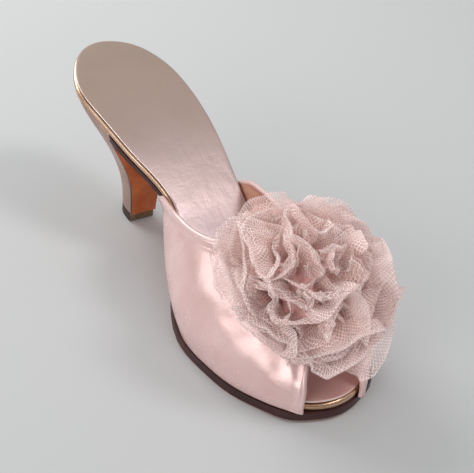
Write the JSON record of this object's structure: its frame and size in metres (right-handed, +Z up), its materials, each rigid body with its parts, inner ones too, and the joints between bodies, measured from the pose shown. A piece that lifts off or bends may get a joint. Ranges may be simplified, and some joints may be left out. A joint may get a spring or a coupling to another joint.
{
  "type": "high heel mule shoe",
  "caption": "Open-toe high heel mule for the left foot: hollow satin vamp on a wrapped platform, covered curved heel and a ruffled net pompom on the vamp.",
  "frame": {"origin": "middle of the bottom face of the heel's top piece, on the floor", "axes": "+Z up, toe along -Y and seat along +Y, little-toe side +X and big-toe side -X"},
  "size_m": [0.0783, 0.2207, 0.0811],
  "materials": {
    "outsole": "dark stained sole leather, tan where it faces the heel's breast",
    "platform": "rose-gold metallic leather wrapped over board",
    "insole": "mauve satin with a rolled metallic edge",
    "upper": "pale pink satin, kid leather lining",
    "heel": "silver-pink metallic cover over a hard heel",
    "top_piece": "matt hard rubber",
    "pompom": "gathered pink net"
  },
  "bodies": {
    "root": {"outsole": "outsole", "platform": "platform", "insole": "insole", "upper": "upper", "heel": "heel", "top_piece": "top_piece", "pompom": "pompom"}
  },
  "joints": []
}
